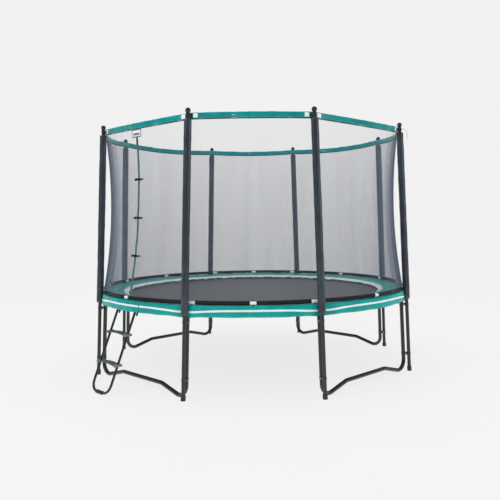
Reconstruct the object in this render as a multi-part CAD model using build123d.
from build123d import *
import os
from math import acos, atan2, cos, degrees, hypot, pi, radians, sin, sqrt, tan

# Trampoline with a safety enclosure. Millimetres, +Z up, origin on the ground under the
# centre of the mat. -Y is the front: the door and the ladder are there. +X is the right.
# Azimuths are degrees measured from the front (-Y) towards the right (+X).

# ---------------------------------------------------------------- driving dimensions
RING_R = 1780.0          # centreline radius of the frame ring
RING_Z = 844.0           # height of the ring centreline
RING_TUBE_R = 24.0
RING_WALL = 1.5
RING_BORE_R = RING_TUBE_R - RING_WALL

LEGS = {"front": 0.0, "right": 90.0, "back": 180.0, "left": 270.0}    # centre azimuths
LEG_HALF_ANGLE = 24.16   # each leg's two uprights stand this far either side of its centre
LEG_TUBE_R = 21.0
LEG_WALL = 1.5
LEG_JOINT_Z = 165.0      # where the base tube plugs into the uprights
LEAN = 2.0               # degrees, legs and poles lean outward at the foot
PIVOT_Z = 738.0          # height at which uprights are exactly on the ring radius

POLE_R = 1840.0          # radius of the pole axes at the pivot height
POLE_OFFSET = POLE_R - RING_R
POLE_TUBE_R = 19.0
POLE_WALL = 1.5
POLE_BORE_R = POLE_TUBE_R - POLE_WALL
POLE_TOP_Z = 2690.0
POLE_JOINT_Z = 1400.0
SLEEVE_R = 38.0          # foam sleeve outside radius
POLE_AZ = sorted((a + s * LEG_HALF_ANGLE) % 360 for a in LEGS.values() for s in (-1, 1))

MAT_R = 1560.0
MAT_Z = 843.0            # underside of the mat
MAT_T = 2.2
SPRING_Z = MAT_Z + MAT_T / 2
SPRINGS = 72

BAND_LOW_R, BAND_LOW_Z, BAND_LOW_TUBE_R = 1775.0, 919.5, 18.0     # net's bottom band

os.makedirs("parts", exist_ok=True)


# ---------------------------------------------------------------- helpers
def out_dir(az):
    """Unit vector pointing outward at an azimuth."""
    return Vector(sin(radians(az)), -cos(radians(az)), 0)


def along_dir(az):
    """Unit vector along the ring, towards growing azimuth."""
    return Vector(cos(radians(az)), sin(radians(az)), 0)


def polar(az, r, z):
    return out_dir(az) * r + Vector(0, 0, z)


def polar_pos(az, r, z):
    point = polar(az, r, z)
    return Pos(point.X, point.Y, point.Z)


def signed_angle(angle):
    """The same angle between -180 and 180."""
    return (angle + 180) % 360 - 180


def radial_plane(az):
    """Plane through the Z axis: local x is the radius, local y is height."""
    return Plane(origin=(0, 0, 0), x_dir=out_dir(az), z_dir=-along_dir(az))


def turn(profile, az0, az1):
    """Revolve a (radius, height) face about Z from az0 to az1."""
    return revolve(radial_plane(az0) * profile, Axis.Z, az1 - az0)


def turn_about(profile, az, half):
    return turn(profile, az - half, az + half)


def eighths(profile):
    """A ring of eight equal lengths, joined at azimuth 0 and every 45 degrees."""
    seam = 0.003
    return [turn(profile, 45.0 * i + seam, 45.0 * (i + 1) - seam) for i in range(8)]


def rect_rz(r0, r1, z0, z1):
    return Pos((r0 + r1) / 2, (z0 + z1) / 2) * Rectangle(r1 - r0, z1 - z0)


def disc_rz(r, z, radius):
    return Pos(r, z) * Circle(radius)


def annulus_rz(r, z, outer_r, inner_r):
    return disc_rz(r, z, outer_r) - disc_rz(r, z, inner_r)


def rod(radius, z0, z1):
    """Solid cylinder on the local Z axis."""
    return Pos(0, 0, (z0 + z1) / 2) * Cylinder(radius, z1 - z0)


def tube(outer_r, inner_r, z0, z1):
    return rod(outer_r, z0, z1) - rod(inner_r, z0 - 1, z1 + 1)


def x_rod(radius, length):
    """Cylinder along local X, centred on the origin."""
    return Rot(0, 90, 0) * Cylinder(radius, length)


def rounded_path(points, radii):
    """Wire through the points with a circular bend at each inner point."""
    points = [p if isinstance(p, Vector) else Vector(*p) for p in points]
    edges, last = [], points[0]
    for before, corner, after, radius in zip(points, points[1:], points[2:], radii):
        back, ahead = (before - corner).normalized(), (after - corner).normalized()
        half = acos(max(-1, min(1, back.dot(ahead)))) / 2
        tangent_length = radius / tan(half)
        start, end = corner + back * tangent_length, corner + ahead * tangent_length
        inward = (back + ahead).normalized()
        centre = corner + inward * (radius / sin(half))
        if (start - last).length > 0.01:
            edges.append(Edge.make_line(last, start))
        edges.append(Edge.make_three_point_arc(start, centre - inward * radius, end))
        last = end
    edges.append(Edge.make_line(last, points[-1]))
    return Wire(edges)


def sweep_disc(path, radius):
    return sweep(Plane(origin=path @ 0, z_dir=path % 0) * Circle(radius), path=path)


def sweep_tube(path, outer_r, inner_r):
    return sweep_disc(path, outer_r) - sweep_disc(path, inner_r)


def solids_of(shape):
    if isinstance(shape, (list, tuple)):
        return [solid for item in shape for solid in solids_of(item)]
    return list(shape.solids())


def write(name, shape):
    solids = solids_of(shape)
    for solid in solids:
        solid.label = name
    whole = solids[0] if len(solids) == 1 else Compound(label=name, children=solids)
    export_step(whole, f"parts/{name}.step")


# ---------------------------------------------------------------- leaning posts
def leg_of(az):
    """Azimuth of the leg centre that this pole belongs to."""
    return min(LEGS.values(), key=lambda leg_az: abs(signed_angle(az - leg_az)))


def post_location(az):
    """Frame of a pole and upright pair: origin on the upright axis at the pivot height,
    local z up along the leaning tubes, local x out towards the pole."""
    lean_dir = out_dir(leg_of(az))
    slope = tan(radians(LEAN))
    up = Vector(-lean_dir.X * slope, -lean_dir.Y * slope, 1).normalized()
    out = out_dir(az)
    x_dir = (out - up * out.dot(up)).normalized()
    return Plane(origin=polar(az, RING_R, PIVOT_Z), x_dir=x_dir, z_dir=up).location


POST = {az: post_location(az) for az in POLE_AZ}
TO_POLE = Pos(POLE_OFFSET, 0, 0)      # from the upright axis to the pole axis


def post_z(z):
    """World height to local height along the leaning tubes."""
    return (z - PIVOT_Z) / cos(radians(LEAN))


def at_posts(solid):
    return [POST[az] * solid for az in POLE_AZ]


def leg_posts(leg_az):
    """Frames of one leg's two posts."""
    return [POST[(leg_az + s * LEG_HALF_ANGLE) % 360] for s in (-1, 1)]


# ---------------------------------------------------------------- frame ring
JOINT_AZ = 28.5          # ring joints and screws, either side of a leg centre
RING_SCREW_AZ = 27.3
SCREW_HOLE_R = 3.05
SOCKET_R = 24.5          # sockets under the ring take the leg uprights
SOCKET_BORE_R = 21.2
SOCKET_Z0 = 762.0
UPRIGHT_TOP_Z = 815.0
SOCKET_SCREW_Z = 776.0
LINK_INNER_R = RING_TUBE_R - 3.2
LINK_SPIGOT_AZ = 2.0     # how far a link's spigot reaches into the next arc

SOCKET_SCREW_HOLE = Pos(-17.0, 0, post_z(SOCKET_SCREW_Z)) * x_rod(SCREW_HOLE_R, 24)


def ring_screw_hole(az):
    return polar_pos(az, RING_R, RING_Z - 20) * Cylinder(SCREW_HOLE_R, 20)


def ring_arc(leg_az):
    """Ring length over one leg, with its two sockets."""
    arc = turn_about(disc_rz(RING_R, RING_Z, RING_TUBE_R), leg_az, JOINT_AZ)
    for post in leg_posts(leg_az):
        arc = arc + post * rod(SOCKET_R, post_z(SOCKET_Z0), post_z(RING_Z - 6))
    arc = arc - turn_about(disc_rz(RING_R, RING_Z, RING_BORE_R), leg_az, JOINT_AZ + 0.2)
    for side, post in zip((-1, 1), leg_posts(leg_az)):
        arc = arc - post * rod(SOCKET_BORE_R, post_z(SOCKET_Z0 - 4), post_z(UPRIGHT_TOP_Z + 1))
        arc = arc - post * SOCKET_SCREW_HOLE
        arc = arc - ring_screw_hole(leg_az + side * RING_SCREW_AZ)
    return arc


def ring_link_arcs():
    """Ring lengths between the legs, with thinner ends that plug into the leg arcs."""
    links = []
    for leg_az in LEGS.values():
        az0, az1 = leg_az + JOINT_AZ + 0.05, leg_az + 90 - JOINT_AZ - 0.05
        link = turn(annulus_rz(RING_R, RING_Z, RING_TUBE_R, LINK_INNER_R), az0, az1)
        link = link + turn(
            annulus_rz(RING_R, RING_Z, RING_BORE_R - 0.2, LINK_INNER_R),
            az0 - LINK_SPIGOT_AZ, az1 + LINK_SPIGOT_AZ,
        )
        for az in (leg_az + RING_SCREW_AZ, leg_az + 90 - RING_SCREW_AZ):
            link = link - ring_screw_hole(az)
        links.append(link)
    return links


# ---------------------------------------------------------------- legs
LEG_HUMP_Z = 88.0        # centreline height of the raised middle of a leg base
LEG_HUMP_HALF = 340.0    # half length between the corners of the raised middle
LEG_BEND_R = 110.0
LEG_HUMP_R = 150.0
LEG_CHORD_HALF = RING_R * sin(radians(LEG_HALF_ANGLE))
SPIGOT_R, SPIGOT_BORE_R, COLLAR_R = 19.3, 17.8, 20.6


def leg_uprights():
    upright = tube(LEG_TUBE_R, LEG_TUBE_R - LEG_WALL, post_z(LEG_JOINT_Z), post_z(UPRIGHT_TOP_Z))
    return at_posts(upright - SOCKET_SCREW_HOLE)


def leg_point(leg_az, along, z):
    """Point in a leg's leaning plane, a distance along it from its middle."""
    out = RING_R * cos(radians(LEG_HALF_ANGLE)) + (PIVOT_Z - z) * tan(radians(LEAN))
    return polar(leg_az, out, z) + along_dir(leg_az) * along


def leg_corner_z():
    """Height of the path corner for which the low bend just touches the ground."""
    corner_z = -9.0
    for _ in range(40):
        run, rise = LEG_HUMP_HALF - LEG_CHORD_HALF, LEG_HUMP_Z - corner_z
        angle = acos(rise / hypot(run, rise))      # angle from straight up
        lowest = corner_z + LEG_BEND_R / tan(angle / 2) - LEG_BEND_R
        corner_z += LEG_TUBE_R - lowest
    return corner_z


def leg_base(leg_az):
    half_path = [
        (LEG_CHORD_HALF, LEG_JOINT_Z - 0.4),
        (LEG_CHORD_HALF, leg_corner_z()),
        (LEG_HUMP_HALF, LEG_HUMP_Z),
    ]
    points = [leg_point(leg_az, along, z) for along, z in half_path]
    points += [leg_point(leg_az, -along, z) for along, z in reversed(half_path)]
    path = rounded_path(points, [LEG_BEND_R, LEG_HUMP_R, LEG_HUMP_R, LEG_BEND_R])
    base = sweep_tube(path, LEG_TUBE_R, LEG_TUBE_R - LEG_WALL)
    joint = post_z(LEG_JOINT_Z)
    for post in leg_posts(leg_az):
        spigot = tube(SPIGOT_R, SPIGOT_BORE_R, joint - 8, joint + 55)
        collar = tube(COLLAR_R, SPIGOT_BORE_R, joint - 6, joint - 1)
        base = base + post * spigot + post * collar
    return base


def frame_screws():
    """Screws up into the ring joints and sideways into the sockets."""
    head = Pos(0, 0, -2.5) * Cylinder(6.5, 5)
    head = fillet(head.edges().filter_by(GeomType.CIRCLE).group_by(Axis.Z)[0], 1.8)
    screw = head + Pos(0, 0, 5.5) * Cylinder(3.0, 11.4)
    head_z = RING_Z - RING_TUBE_R - 0.15
    screws = [
        polar_pos(leg_az + s * RING_SCREW_AZ, RING_R, head_z) * screw
        for leg_az in LEGS.values() for s in (-1, 1)
    ]
    socket_screw = Pos(-SOCKET_R - 0.2, 0, post_z(SOCKET_SCREW_Z)) * Rot(0, 90, 0) * screw
    return screws + at_posts(socket_screw)


# ---------------------------------------------------------------- enclosure poles
SLEEVE_Z0, SLEEVE_Z1 = 802.0, 2672.0
FOOT_CAP_R = 24.0
CAP_TOP_Z = 2784.0
CAP_BALL_R = 27.0
CAP_NECK_R, CAP_NECK_H = 19.5, 51.7
CAP_PLUG_H = 40.0


def pole_lower_tubes():
    """Lower pole halves with a neck that plugs into the upper halves."""
    joint = post_z(POLE_JOINT_Z)
    lower = tube(POLE_TUBE_R, POLE_BORE_R, post_z(10), joint)
    neck = tube(POLE_BORE_R - 0.2, POLE_BORE_R - 0.2 - POLE_WALL, joint - 8, joint + 80)
    throat = tube(POLE_BORE_R + 0.5, POLE_BORE_R - 1.7, joint - 8, joint - 2)
    return at_posts(TO_POLE * (lower + neck + throat))


def pole_upper_tubes():
    upper = tube(POLE_TUBE_R, POLE_BORE_R, post_z(POLE_JOINT_Z) + 0.3, post_z(POLE_TOP_Z))
    return at_posts(TO_POLE * upper)


def pole_foot_caps():
    """Cups on the pole feet, cut off level at the ground."""
    ground = Pos(0, 0, -100) * Box(6000, 6000, 200)
    cup = rod(FOOT_CAP_R, post_z(-6), post_z(46))
    cup = cup - rod(POLE_TUBE_R + 0.15, post_z(9.5), post_z(60))
    return [cap - ground for cap in at_posts(TO_POLE * cup)]


def pole_foam_sleeves():
    """Foam round the poles, pressed in where the ring and sockets touch it."""
    sleeve = tube(SLEEVE_R, POLE_TUBE_R + 0.3, post_z(SLEEVE_Z0), post_z(SLEEVE_Z1))
    bottom_edges = sleeve.edges().filter_by(GeomType.CIRCLE).group_by(Axis.Z)[0]
    sleeve = TO_POLE * chamfer(bottom_edges.sort_by(SortBy.RADIUS)[-1], 14, 6)
    ring_press = turn(disc_rz(RING_R, RING_Z, RING_TUBE_R + 0.6), -12, 12)
    socket_press = rod(SOCKET_R + 0.6, post_z(790), post_z(860))
    return [
        POST[az] * sleeve - Rot(0, 0, az) * ring_press - POST[az] * socket_press
        for az in POLE_AZ
    ]


def pole_caps():
    plug = Pos(0, 0, -CAP_PLUG_H / 2) * Cylinder(POLE_BORE_R - 0.2, CAP_PLUG_H)
    neck = Pos(0, 0, CAP_NECK_H / 2) * Cylinder(CAP_NECK_R, CAP_NECK_H)
    ball_z = post_z(CAP_TOP_Z) - CAP_BALL_R - post_z(POLE_TOP_Z)
    cap = plug + neck + Pos(0, 0, ball_z) * Sphere(CAP_BALL_R)
    return at_posts(Pos(POLE_OFFSET, 0, post_z(POLE_TOP_Z) + 0.3) * cap)


# ---------------------------------------------------------------- clamps
CLAMP_Z_LOW, CLAMP_Z_HIGH = 190.0, 738.0
CLAMP_H = 26.0
CLAMP_BOLT_X = (LEG_TUBE_R + POLE_OFFSET - POLE_TUBE_R) / 2    # middle of the tubes' gap
CLAMP_SIDE_Y = (LEG_TUBE_R + POLE_TUBE_R) / 2 + 2.3            # strap's side at the bolt
CLAMP_HEX_R = 7.5


def clamp_oval(clearance):
    """Outline round both tubes."""
    upright = Circle(LEG_TUBE_R + clearance)
    pole = Pos(POLE_OFFSET, 0) * Circle(POLE_TUBE_R + clearance)
    return make_hull((upright.edges() + pole.edges()))


def clamp_straps(z):
    """Flat straps that run round upright and pole."""
    outline = clamp_oval(2.4) - clamp_oval(0.2)
    strap = Pos(0, 0, -CLAMP_H / 2) * extrude(outline, CLAMP_H)
    strap = strap - Pos(CLAMP_BOLT_X, 0, 0) * Rot(90, 0, 0) * Cylinder(4.1, 80)
    return at_posts(Pos(0, 0, post_z(z)) * strap)


def at_clamps(y, fastener):
    """Copies at both heights on every post, the fastener's z turned to local -y."""
    fastener = Pos(CLAMP_BOLT_X, y, 0) * Rot(90, 0, 0) * fastener
    return [at_posts(Pos(0, 0, post_z(z)) * fastener) for z in (CLAMP_Z_LOW, CLAMP_Z_HIGH)]


def clamp_bolts():
    head = extrude(RegularPolygon(CLAMP_HEX_R, 6), 5.3)
    return at_clamps(-CLAMP_SIDE_Y - 0.9, head + Pos(0, 0, -28.5) * Cylinder(4.0, 57.5))


def clamp_nuts():
    nut = extrude(RegularPolygon(CLAMP_HEX_R, 6) - Circle(4.08), 6.5)
    return at_clamps(CLAMP_SIDE_Y + 7.4, nut)


# ---------------------------------------------------------------- mat and springs
V_RING_R0, V_RING_R1 = 1566, 1599      # radii of a V ring's straight side and its tip
V_RING_WIRE_R = 2.2


def mat_bed():
    return Pos(0, 0, SPRING_Z) * Cylinder(MAT_R, MAT_T)


def mat_webbing():
    return eighths(rect_rz(MAT_R - 58, MAT_R, MAT_Z + 2.4, MAT_Z + 5.6))


def at_springs(solid):
    """Copies round the mat of a solid that lies along +X."""
    return [Rot(0, 0, 360.0 * i / SPRINGS - 90) * solid for i in range(SPRINGS)]


def mat_v_rings():
    path = rounded_path(
        [
            (V_RING_R0, 0, 0), (V_RING_R0, 22, 0), (V_RING_R1, 3, 0),
            (V_RING_R1, -3, 0), (V_RING_R0, -22, 0), (V_RING_R0, -0.02, 0),
        ],
        [4, 3, 3, 4],
    )
    start = Plane(origin=(V_RING_R0, 0, 0), z_dir=(0, 1, 0))
    return at_springs(Pos(0, 0, SPRING_Z) * sweep(start * Circle(V_RING_WIRE_R), path=path))


def springs():
    """Springs as plain tubes with stepped ends."""
    def stub(x, radius, length):
        return Pos(x, 0, 0) * x_rod(radius, length)

    coil = Pos(1674, 0, 0) * Rot(0, 90, 0) * tube(9.0, 6.6, -62, 62)
    inner_end = stub(1609.6, 6.0, 5.2) + stub(1605.5, 1.8, 7)
    inner_collar = stub(1612.5, 7.2, 4)
    outer_end = stub(1738, 7.2, 5) + stub(1746.5, 1.8, 14)
    return at_springs(Pos(0, 0, SPRING_Z) * (coil + inner_end + inner_collar + outer_end))


# ---------------------------------------------------------------- pad
PAD_R0, PAD_R1 = 1552.0, 1824.0
PAD_Z0, PAD_Z1 = 873.5, 896.5
SKIRT_Z0 = 790.0
SKIRT_T = 1.5
COVER_T = 1.3
BORDER_R0 = 1488.0
FLAP_AZ0, FLAP_AZ1, FLAP_TOP = -9.5, 6.3, 876.0
SLOT_HALF_AZ = 0.5
TIE_AZ = (12.5, 32.5, 57.5, 77.5)      # ties in the quarter after each leg centre
TIE_HALF_AZ = 0.25

# straps that hold the net's lower band pass down through slots in the pad: one beside each
# pole, towards the gap between legs, one near each leg centre and one in each gap
STRAP_AZ = [az + (1.75 if signed_angle(az - leg_of(az)) > 0 else -1.75) for az in POLE_AZ]
for leg_centre in LEGS.values():
    STRAP_AZ += [leg_centre + (-2.0 if leg_centre == 0 else 0.0), leg_centre + 45.0]

PIPING = rect_rz(PAD_R1 + 0.2, PAD_R1 + 1.3, 845.0, 864.0)


def strap_slot(az):
    profile = rect_rz(BAND_LOW_R - 4, BAND_LOW_R + 4, PAD_Z0 - 4, PAD_Z1 + 4)
    return turn_about(profile, az, SLOT_HALF_AZ)


def pad_foam():
    """Foam lengths from pole to pole."""
    profile = rect_rz(PAD_R0 + 2.5, PAD_R1 - 3.0, PAD_Z0 + 1.7, PAD_Z1 - 1.7)
    pole_room = Pos(POLE_OFFSET, 0, post_z(855)) * Cylinder(SLEEVE_R + 6, 150)
    lengths = []
    for i, az in enumerate(POLE_AZ):
        next_az = POLE_AZ[(i + 1) % 8]
        end_az = next_az + (360 if i == 7 else 0)
        foam = turn(profile, az + 0.15, end_az - 0.15)
        foam = foam - POST[az] * pole_room
        foam = foam - POST[next_az] * pole_room
        for strap_az in STRAP_AZ:
            if (strap_az - az) % 360 < 50:
                foam = foam - strap_slot(strap_az)
        lengths.append(foam)
    return lengths


def pole_notches():
    return at_posts(TO_POLE * rod(SLEEVE_R + 3, post_z(770), post_z(930)))


def without_flap(lengths):
    """Clear the two front lengths where the door flap hangs."""
    profile = rect_rz(PAD_R1 - SKIRT_T - 0.1, PAD_R1 + 2.0, SKIRT_Z0 - 5, FLAP_TOP + 0.3)
    room = turn(profile, FLAP_AZ0 - 0.02, FLAP_AZ1 + 0.02)
    return [length - room if i in (0, 7) else length for i, length in enumerate(lengths)]


def pad_cover():
    """Hollow cover with a skirt outside, notched at the poles and slotted for the straps."""
    profile = rect_rz(PAD_R0, PAD_R1, PAD_Z0, PAD_Z1) - rect_rz(
        PAD_R0 + COVER_T, PAD_R1 - SKIRT_T, PAD_Z0 + COVER_T, PAD_Z1 - COVER_T
    )
    profile = profile + rect_rz(PAD_R1 - SKIRT_T, PAD_R1, SKIRT_Z0, PAD_Z1 - 0.5)
    lengths = []
    for i, (length, notch) in enumerate(zip(eighths(profile), pole_notches())):
        length = length - notch
        for strap_az in STRAP_AZ:
            if -1 < strap_az % 360 - 45.0 * i < 46:
                length = length - strap_slot(strap_az)
        lengths.append(length)
    return without_flap(lengths)


def pad_door_flap():
    """Loose flap of the skirt in front of the ladder, with its piping."""
    skirt = rect_rz(PAD_R1 - SKIRT_T, PAD_R1, SKIRT_Z0, FLAP_TOP)
    return [turn(profile, FLAP_AZ0, FLAP_AZ1) for profile in (skirt, PIPING)]


def pad_inner_border():
    return eighths(rect_rz(BORDER_R0, PAD_R0 - 0.3, 876.0, 878.0))


def pad_piping():
    lengths = [length - notch for length, notch in zip(eighths(PIPING), pole_notches())]
    return without_flap(lengths)


def pad_tie_straps():
    """Loops round the ring, each with a stem up to the pad."""
    loop = annulus_rz(RING_R, RING_Z, RING_TUBE_R + 1.5, RING_TUBE_R + 0.3)
    stem = rect_rz(RING_R - 3, RING_R + 3, RING_Z + RING_TUBE_R + 1.0, PAD_Z0 - 0.2)
    return [
        turn_about(loop, leg_az + tie_az, TIE_HALF_AZ)
        + turn_about(stem, leg_az + tie_az, TIE_HALF_AZ)
        for leg_az in LEGS.values() for tie_az in TIE_AZ
    ]


# ---------------------------------------------------------------- safety net
TOP_R = 1745.0                       # top band's middle radius where a pole holds it
TOP_BOW = 105.0                      # how far it bows out between poles
TOP_DROOP_LEG, TOP_DROOP_GAP = 22.0, 10.0    # how far it hangs, over a leg and between legs
TOP_BAND_HALF_T = 7.0
TOP_BAND_SKIN = 1.2
TOP_BAND_Z0, TOP_BAND_Z1 = 2682.0, 2740.0    # heights at the poles
TOP_MID_Z = (TOP_BAND_Z0 + TOP_BAND_Z1) / 2
TOP_ROD_R = 4.5
NET_Z_TOP = TOP_BAND_Z0 - 5.6
NET_WAIST_R, NET_WAIST_Z = 1690.0, 1795.0
NET_LOW = (1776.0, 938.5)            # radius, height
NET_T = 1.2
NET_IN = 8.5                         # the net hangs this far inside the band's middle
SEAM_AZ = 0.004                      # clearance at each pole
DOOR_SLIT_AZ = 0.06


def pole_top(az):
    """Point on a pole's axis at the top band's height."""
    shift = (TOP_MID_Z - PIVOT_Z) * tan(radians(LEAN))
    return polar(az, POLE_R, TOP_MID_Z) - out_dir(leg_of(az)) * shift


TOP_AZ = [degrees(atan2(pole_top(az).X, -pole_top(az).Y)) % 360 for az in POLE_AZ]
# start and end azimuth of each span between poles; the last one crosses the front
TOP_SPANS = [(az, az + (TOP_AZ[(i + 1) % 8] - az) % 360) for i, az in enumerate(TOP_AZ)]


def circle_through(first, second, third):
    """Centre x, centre y and radius of the circle through three points."""
    (ax, ay), (bx, by), (cx, cy) = first, second, third
    a_sq, b_sq, c_sq = ax**2 + ay**2, bx**2 + by**2, cx**2 + cy**2
    scale = 2 * (ax * (by - cy) + bx * (cy - ay) + cx * (ay - by))
    x = (a_sq * (by - cy) + b_sq * (cy - ay) + c_sq * (ay - by)) / scale
    y = (a_sq * (cx - bx) + b_sq * (ax - cx) + c_sq * (bx - ax)) / scale
    return x, y, hypot(ax - x, ay - y)


def top_span(az):
    """Middle, half angle and droop of the span between poles that an azimuth is in."""
    for az0, az1 in TOP_SPANS:
        span = az1 - az0
        if (az - az0) % 360 <= span:
            return az0 + span / 2, span / 2, TOP_DROOP_LEG if span > 45 else TOP_DROOP_GAP


def top_r(az):
    """Middle radius of the top band: it is held at the poles and bows out between them."""
    middle, half, _ = top_span(az)
    chord_r, chord_half = TOP_R * cos(radians(half)), TOP_R * sin(radians(half))
    arc_r = (chord_half * chord_half + TOP_BOW * TOP_BOW) / (2 * TOP_BOW)
    centre_r = chord_r + TOP_BOW - arc_r
    angle = radians(signed_angle(az - middle))
    return centre_r * cos(angle) + sqrt(arc_r**2 - (centre_r * sin(angle)) ** 2)


def top_drop(az):
    """How far the top band hangs below its height at the poles."""
    middle, half, droop = top_span(az)
    return droop * max(0.0, 1 - (signed_angle(az - middle) / half) ** 2)


def net_circle(az):
    """The net's bow at an azimuth: centre radius, centre height and radius of its arc."""
    r = top_r(az) - NET_IN
    waist_r = NET_WAIST_R - 0.4 * (TOP_R - NET_IN - r)
    return circle_through((r, NET_Z_TOP - top_drop(az)), (waist_r, NET_WAIST_Z), NET_LOW)


def net_r(z, az=0.0):
    """Radius of the net's inner face at a height."""
    centre_r, centre_z, radius = net_circle(az)
    return centre_r - sqrt(radius**2 - (z - centre_z) ** 2)


def net_profile(offset, thickness, z0, z1, az=0.0):
    """Bowed strip that follows the net, starting an offset outside its inner face."""
    low, mid, high = ((net_r(z, az) + offset, z) for z in (z0, (z0 + z1) / 2, z1))

    def outward(point):
        return point[0] + thickness, point[1]

    return make_face([
        Edge.make_three_point_arc(low, mid, high),
        Edge.make_line(high, outward(high)),
        Edge.make_three_point_arc(outward(low), outward(mid), outward(high)),
        Edge.make_line(low, outward(low)),
    ])


def net_panel(az0, az1, sections):
    """One panel of the net, lofted through upright sections."""
    stations = [az0 + (az1 - az0) * k / (sections - 1) for k in range(sections)]
    return loft([
        radial_plane(az) * net_profile(0, NET_T, NET_LOW[1], NET_Z_TOP - top_drop(az), az)
        for az in stations
    ])


def band_piece(az0, az1, in_r, out_r, z0, z1, sections=7):
    """A length that follows the top band: radii from its middle, heights at the poles."""
    faces = []
    for k in range(sections):
        az = az0 + (az1 - az0) * k / (sections - 1)
        r, drop = top_r(az), top_drop(az)
        faces.append(radial_plane(az) * rect_rz(r + in_r, r + out_r, z0 - drop, z1 - drop))
    return loft(faces)


def net_wall_panels():
    return [net_panel(az0 + SEAM_AZ, az1 - SEAM_AZ, 9) for az0, az1 in TOP_SPANS[:7]]


def net_door_panels():
    return [
        net_panel(TOP_AZ[7] + SEAM_AZ, 360 - DOOR_SLIT_AZ, 6),
        net_panel(DOOR_SLIT_AZ, TOP_AZ[0] - SEAM_AZ, 6),
    ]


def net_top_band():
    """Hollow band lengths, one per span."""
    lengths = []
    for az0, az1 in TOP_SPANS:
        outer, inner = (
            band_piece(
                az0 + seam, az1 - seam, skin - TOP_BAND_HALF_T, TOP_BAND_HALF_T - skin,
                TOP_BAND_Z0 + skin, TOP_BAND_Z1 - skin,
            )
            for seam, skin in ((SEAM_AZ, 0.0), (SEAM_AZ / 2, TOP_BAND_SKIN))
        )
        lengths.append(outer - inner)
    return lengths


def band_binding():
    z0, z1 = TOP_BAND_Z0 - 5.2, TOP_BAND_Z0 - 0.3
    return [
        band_piece(az0 + SEAM_AZ, az1 - SEAM_AZ, -12.0, -4.0, z0, z1) for az0, az1 in TOP_SPANS
    ]


def top_rods():
    """Rods inside the top band."""
    rods = []
    for az0, az1 in TOP_SPANS:
        stations = [az0 + 0.1 + (az1 - az0 - 0.2) * k / 8 for k in range(9)]
        points = [polar(az, top_r(az), TOP_MID_Z - top_drop(az)) for az in stations]
        rods.append(sweep_disc(Wire([Edge.make_spline(points)]), TOP_ROD_R))
    return rods


def band_patches():
    """Patches on the band's outer face, either side of each pole."""
    half = degrees(24.0 / TOP_R)
    middles = [az + s * degrees(66.0 / TOP_R) for az in TOP_AZ for s in (-1, 1)]
    return [
        band_piece(
            az - half, az + half, TOP_BAND_HALF_T + 0.2, TOP_BAND_HALF_T + 1.4,
            TOP_BAND_Z0 + 8, TOP_BAND_Z1 - 8, 4,
        )
        for az in middles
    ]


def top_straps():
    """Loops round the pole tops, each with a tongue in to the band."""
    straps = []
    for az, top_az in zip(POLE_AZ, TOP_AZ):
        pole_r = hypot(pole_top(az).X, pole_top(az).Y)
        loop = POST[az] * (TO_POLE * tube(21.3, 19.8, post_z(2696.0), post_z(2724.0)))
        tongue = rect_rz(TOP_R + TOP_BAND_HALF_T + 0.2, pole_r - 20.4, 2700.0, 2720.0)
        straps.append(loop + turn_about(tongue, top_az, degrees(10.0 / TOP_R)))
    return straps


def net_bottom_band():
    return eighths(annulus_rz(BAND_LOW_R, BAND_LOW_Z, BAND_LOW_TUBE_R, BAND_LOW_TUBE_R - 1.4))


def bottom_rods():
    profile = disc_rz(BAND_LOW_R, BAND_LOW_Z, 7.0)
    return [turn(profile, 45 * i + 0.05, 45 * i + 44.95) for i in range(8)]


def bottom_band_loops():
    """Wraps round the bottom band, open where the net leaves it."""
    half = degrees(23.0 / BAND_LOW_R)
    wrap = annulus_rz(BAND_LOW_R, BAND_LOW_Z, BAND_LOW_TUBE_R + 1.4, BAND_LOW_TUBE_R + 0.2)
    opening = rect_rz(BAND_LOW_R - 10, BAND_LOW_R + 8, BAND_LOW_Z + 5, BAND_LOW_Z + 40)
    return [turn_about(wrap, az, half) - turn_about(opening, az, half + 1) for az in STRAP_AZ]


def bottom_straps():
    """Stems down from the bottom band to loops round the ring."""
    half = 0.32
    stem_top = BAND_LOW_Z - BAND_LOW_TUBE_R - 1.7
    stem_profile = rect_rz(BAND_LOW_R - 0.8, BAND_LOW_R + 0.8, 866.9, stem_top)
    loop_profile = annulus_rz(RING_R, RING_Z, RING_TUBE_R + 1.8, RING_TUBE_R + 0.3)
    ring_room = disc_rz(RING_R, RING_Z, RING_TUBE_R + 0.3)
    straps = []
    for az in STRAP_AZ:
        stem = turn_about(stem_profile, az, half) - turn_about(ring_room, az, half + 0.1)
        straps.append(turn_about(loop_profile, az, half) + stem)
    return straps


# ---------------------------------------------------------------- door: zip, clips, label
CLIPS = {"low": 1346.0, "mid": 1737.0, "high": 2135.0}      # heights
CLIP_X, CLIP_Y = 24.0, -19.0
SLIDER_Z = 2536.0        # slider parked at the top of the closed zip
LABEL_Z = 2612.0
PULL_Y = -12.0
PULL_T = 2.2
PULL_AXIS = Pos(0, -9.2, 6)      # bar the pull hangs on, in the slider's frame


def zip_tape(az0, az1):
    return turn(net_profile(NET_T + 0.3, 1.6, 940.0, 2648.0), az0, az1)


def door_location(z):
    """Frame on the door line: local x to the right, -y outward, z up along the net."""
    _, centre_z, radius = net_circle(0.0)
    sine = (z - centre_z) / radius
    up = (0, -sine, sqrt(1 - sine * sine))
    return Plane(origin=(0, -net_r(z), z), x_dir=(1, 0, 0), z_dir=up).location


def zip_slider():
    slider = Pos(0, -6.6, 0) * Box(15, 5.6, 26)
    slider = fillet(slider.edges().filter_by(Axis.Y), 4.0)
    slider = slider - Pos(0, -8.2, 6) * Box(4.4, 7.6, 8.4)
    return door_location(SLIDER_Z) * (slider + PULL_AXIS * x_rod(1.4, 8))


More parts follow.
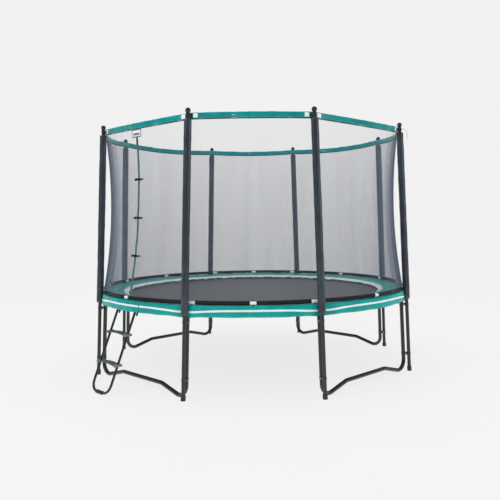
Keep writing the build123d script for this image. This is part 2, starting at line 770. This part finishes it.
def zip_pull():
    pull = Pos(0, PULL_Y, -22) * Box(12, PULL_T, 46)
    pull = fillet(pull.edges().filter_by(Axis.Y), 4.0)
    eye = PULL_AXIS * (Rot(0, 90, 0) * (Cylinder(3.4, 3.0) - Cylinder(1.65, 4.0)))
    neck = Pos(0, PULL_Y, 3.0) * Box(3.0, PULL_T, 8)
    pull = pull + (neck - PULL_AXIS * x_rod(1.65, 6)) + eye
    return door_location(SLIDER_Z) * pull


def clip_body(x, width):
    body = Pos(x, CLIP_Y, 0) * Box(width, 12, 26)
    return fillet(body.edges().filter_by(Axis.X), 4.0)


def clip_receiver(z):
    """Hollow half of a clip, left of the door line."""
    return door_location(z) * (clip_body(-CLIP_X, 22) - Pos(-20, CLIP_Y, 0) * Box(18.2, 6.0, 17))


def clip_plug(z):
    """Right half of a clip, whose prong reaches into the receiver."""
    return door_location(z) * (clip_body(CLIP_X, 16) + Pos(1.5, CLIP_Y, 0) * Box(30.0, 5.0, 15.6))


def clip_straps():
    straps = []
    for z in CLIPS.values():
        for side in (-1, 1):
            strap = Pos(side * 52, -5.3, 0) * Box(56, 1.4, 20)
            standoff = Pos(side * 27, -8.8, 0) * Box(6, 7.4, 18)
            straps.append(door_location(z) * (strap + standoff))
    return straps


def net_label():
    return Pos(0, -net_r(LABEL_Z) - 8.5, LABEL_Z) * Box(132, 1.2, 74)


# ---------------------------------------------------------------- ladder
# Built about the Y axis, then turned to its azimuth. The hook axis is the chord of the
# ring through both hooks.
LADDER_TURN = Rot(0, 0, -1.6)    # a little left of the door line
LADDER_HALF = 163.0              # half the distance between its rails
LADDER_TUBE_R = 12.5
LADDER_FOOT_R = 2110.0
LADDER_BEND_R = 95
LADDER_TREADS = {"upper": 571.0, "lower": 286.0}     # heights
RIVET_AT = 70                    # rivets, down the rail from the hook axis
RIVET_HOLE_R = 3.1
HOOK_W = 26
HOOK_T = 3.0
TREAD_HALF_DEPTH = 40.0
TREAD_HALF_LENGTH = LADDER_HALF - 13.5
TREAD_T = 12.0
TREAD_END_Z, TREAD_CROWN_Z = 3.0, 15.0      # top face above the tread's height
HOOK_R = sqrt(RING_R**2 - LADDER_HALF**2)
SLOPE = atan2(LADDER_FOOT_R - HOOK_R, RING_Z - 16.5)    # rails lean out at the foot
SIN_SLOPE, COS_SLOPE = sin(SLOPE), cos(SLOPE)
RAIL_LENGTH = (RING_Z - LADDER_TUBE_R - 4.0) / COS_SLOPE


def rail_point(dist, x, off=0.0):
    """Point dist down the rail line from the hook axis, off square to it."""
    y = -(HOOK_R + SIN_SLOPE * dist + COS_SLOPE * off)
    return Vector(x, y, RING_Z - COS_SLOPE * dist + SIN_SLOPE * off)


def across_rail(dist, x, off=0.0):
    """Location whose local z points outward, square to the rail."""
    z_dir = (0, -COS_SLOPE, SIN_SLOPE)
    return Plane(origin=rail_point(dist, x, off), x_dir=(1, 0, 0), z_dir=z_dir).location


def ladder_rails():
    """Both rails and the foot bar, bent from one tube."""
    ends = [(30.6, -1), (RAIL_LENGTH, -1), (RAIL_LENGTH, 1), (30.6, 1)]
    points = [rail_point(dist, side * LADDER_HALF) for dist, side in ends]
    path = rounded_path(points, [LADDER_BEND_R, LADDER_BEND_R])
    rails = sweep_tube(path, LADDER_TUBE_R, LADDER_TUBE_R - 1.4)
    for side in (-1, 1):
        hole = across_rail(RIVET_AT, side * LADDER_HALF, -9.0) * Cylinder(RIVET_HOLE_R, 18)
        rails = rails - hole
    return LADDER_TURN * rails


def ladder_hooks():
    """Bent flat bars that wrap the ring from the outside over its top, riveted to the
    rail's inner side by their tails."""
    inner_r = RING_TUBE_R + 2.0
    low, high = -degrees(pi / 2 - SLOPE) - 14.0, 150.0
    angles = [radians(low + (high - low) * k / 12) for k in range(13)]
    sector = Polygon(*[(60 * cos(a), 60 * sin(a)) for a in angles] + [(0, 0)], align=None)
    bar = (Circle(inner_r + HOOK_T) - Circle(inner_r)) & sector

    near = LADDER_TUBE_R + 0.2
    far = near + HOOK_T
    # distance down the rail, distance inside its centreline
    tail_corners = [(23.5, near), (96.0, near), (96.0, far), (23.5, far)]
    tail = Polygon(
        *[
            (SIN_SLOPE * dist - COS_SLOPE * off, -COS_SLOPE * dist - SIN_SLOPE * off)
            for dist, off in tail_corners
        ],
        align=None,
    )
    hooks = []
    for x in (-LADDER_HALF, LADDER_HALF):
        side_plane = Plane(
            origin=(x + HOOK_W / 2, -HOOK_R, RING_Z), x_dir=(0, -1, 0), z_dir=(-1, 0, 0)
        )
        hook = extrude(side_plane * (bar + tail), HOOK_W)
        hook = hook - across_rail(RIVET_AT, x, -14.0) * Cylinder(RIVET_HOLE_R, 12)
        hooks.append(LADDER_TURN * hook)
    return hooks


def ladder_tread(z):
    """Arched plate, crowned along its length."""
    def arch(drop):
        ends_z = TREAD_END_Z - drop
        return Edge.make_three_point_arc(
            (-TREAD_HALF_LENGTH, ends_z), (0, TREAD_CROWN_Z - drop), (TREAD_HALF_LENGTH, ends_z)
        )

    def end(x0, z0, z1):
        return Edge.make_line((x0, z0), (x0, z1))

    bottom_z = TREAD_END_Z - TREAD_T
    profile = make_face([
        arch(0), end(TREAD_HALF_LENGTH, TREAD_END_Z, bottom_z),
        arch(TREAD_T), end(-TREAD_HALF_LENGTH, bottom_z, TREAD_END_Z),
    ])
    centre = rail_point((RING_Z - z) / COS_SLOPE, 0)
    back = (0, centre.Y + TREAD_HALF_DEPTH, centre.Z)
    plane = Plane(origin=back, x_dir=(1, 0, 0), z_dir=(0, -1, 0))
    return LADDER_TURN * extrude(plane * profile, 2 * TREAD_HALF_DEPTH)


def ladder_tread_caps():
    """Blocks round the rails at the tread ends."""
    caps = []
    for z in LADDER_TREADS.values():
        for x in (-LADDER_HALF, LADDER_HALF):
            centre = rail_point((RING_Z - z) / COS_SLOPE, x)
            block = Pos(x, centre.Y, centre.Z - 3) * Box(26.6, 2 * TREAD_HALF_DEPTH + 4, 24)
            block = fillet(block.edges().filter_by(Axis.X), 6)
            along_rail = Plane(origin=centre, z_dir=(0, -SIN_SLOPE, -COS_SLOPE)).location
            caps.append(LADDER_TURN * (block - along_rail * Cylinder(LADDER_TUBE_R + 0.1, 140)))
    return caps


def ladder_bolts():
    """Rivets through the hook tails into the rails."""
    head = Pos(0, 0, -LADDER_TUBE_R - 5.8) * Cylinder(6.5, 5.0)
    stud = head + Pos(0, 0, -9.0) * Cylinder(3.0, 13.4)
    return [LADDER_TURN * (across_rail(RIVET_AT, s * LADDER_HALF) * stud) for s in (-1, 1)]


def ladder_foot():
    """Block on the ground round the foot bar."""
    centre = rail_point(RAIL_LENGTH, 0)
    block = Pos(0, centre.Y, 15.0) * Box(120, 34, 30)
    block = fillet(block.edges().filter_by(Axis.X), 7)
    block = block - Pos(0, centre.Y, centre.Z) * x_rod(LADDER_TUBE_R + 0.1, 140)
    return LADDER_TURN * block


# ---------------------------------------------------------------- write the pieces
for leg_name, leg_centre in LEGS.items():
    write(f"ring_arc_{leg_name}", ring_arc(leg_centre))
    write(f"leg_base_{leg_name}", leg_base(leg_centre))
write("upper_clamp_straps", clamp_straps(CLAMP_Z_HIGH))
write("lower_clamp_straps", clamp_straps(CLAMP_Z_LOW))
write("zip_tape_left", zip_tape(359.46, 359.985))
write("zip_tape_right", zip_tape(0.015, 0.54))
for clip_name, clip_z in CLIPS.items():
    write(f"clip_{clip_name}_receiver", clip_receiver(clip_z))
    write(f"clip_{clip_name}_plug", clip_plug(clip_z))
for tread_name, tread_z in LADDER_TREADS.items():
    write(f"ladder_tread_{tread_name}", ladder_tread(tread_z))

# the other files are named after the functions that build them
for build in (
    ring_link_arcs, leg_uprights, frame_screws,
    pole_lower_tubes, pole_upper_tubes, pole_foot_caps, pole_foam_sleeves, pole_caps,
    clamp_bolts, clamp_nuts, mat_bed, mat_webbing, mat_v_rings, springs,
    pad_foam, pad_cover, pad_door_flap, pad_inner_border, pad_piping, pad_tie_straps,
    net_wall_panels, net_door_panels, net_top_band, band_binding, top_rods, band_patches,
    top_straps, net_bottom_band, bottom_rods, bottom_band_loops, bottom_straps,
    zip_slider, zip_pull, clip_straps, net_label,
    ladder_rails, ladder_hooks, ladder_tread_caps, ladder_bolts, ladder_foot,
):
    write(build.__name__, build())
